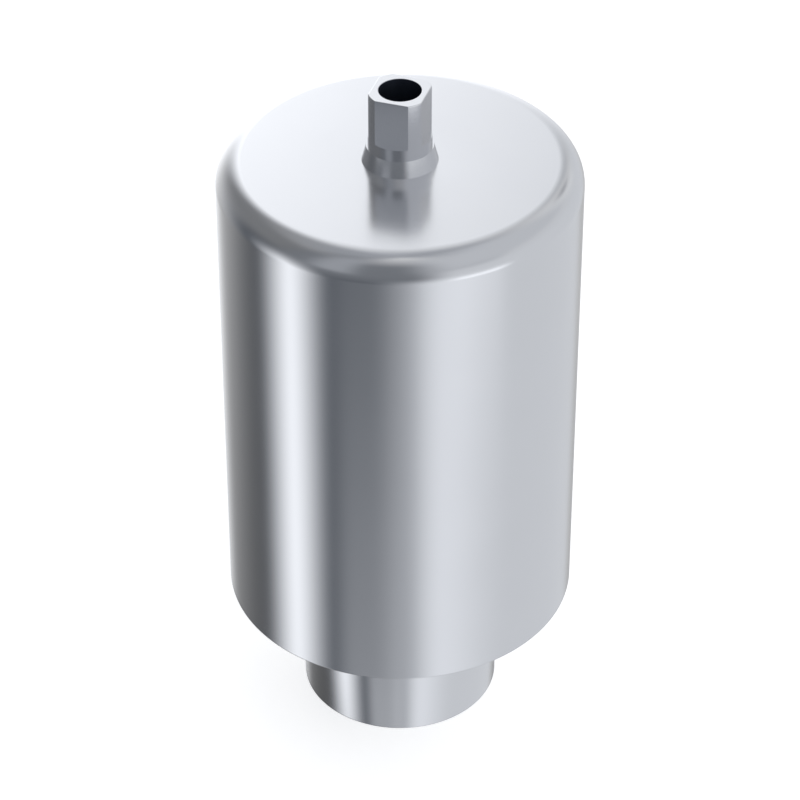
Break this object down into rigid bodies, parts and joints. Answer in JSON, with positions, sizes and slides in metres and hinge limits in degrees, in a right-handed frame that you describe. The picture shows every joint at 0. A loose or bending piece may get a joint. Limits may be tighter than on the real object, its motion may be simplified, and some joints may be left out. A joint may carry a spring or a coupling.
{
  "type": "dental abutment blank",
  "caption": "One-piece turned titanium abutment blank: a cylinder with a rounded shoulder, a clamping stub below, and a conical implant connection with flats and a screw hole above.",
  "frame": {"origin": "middle of the flat end of the clamping stub, which the part stands on", "axes": "+Z along the turning axis, from the stub up to the implant connection; -Y is the front, and the first flat of the tip is turned 18 degrees from it"},
  "size_m": [0.014, 0.014, 0.0284],
  "materials": {
    "titanium": "fine turned titanium, satin"
  },
  "bodies": {
    "root": {"abutment": "titanium"}
  },
  "joints": []
}
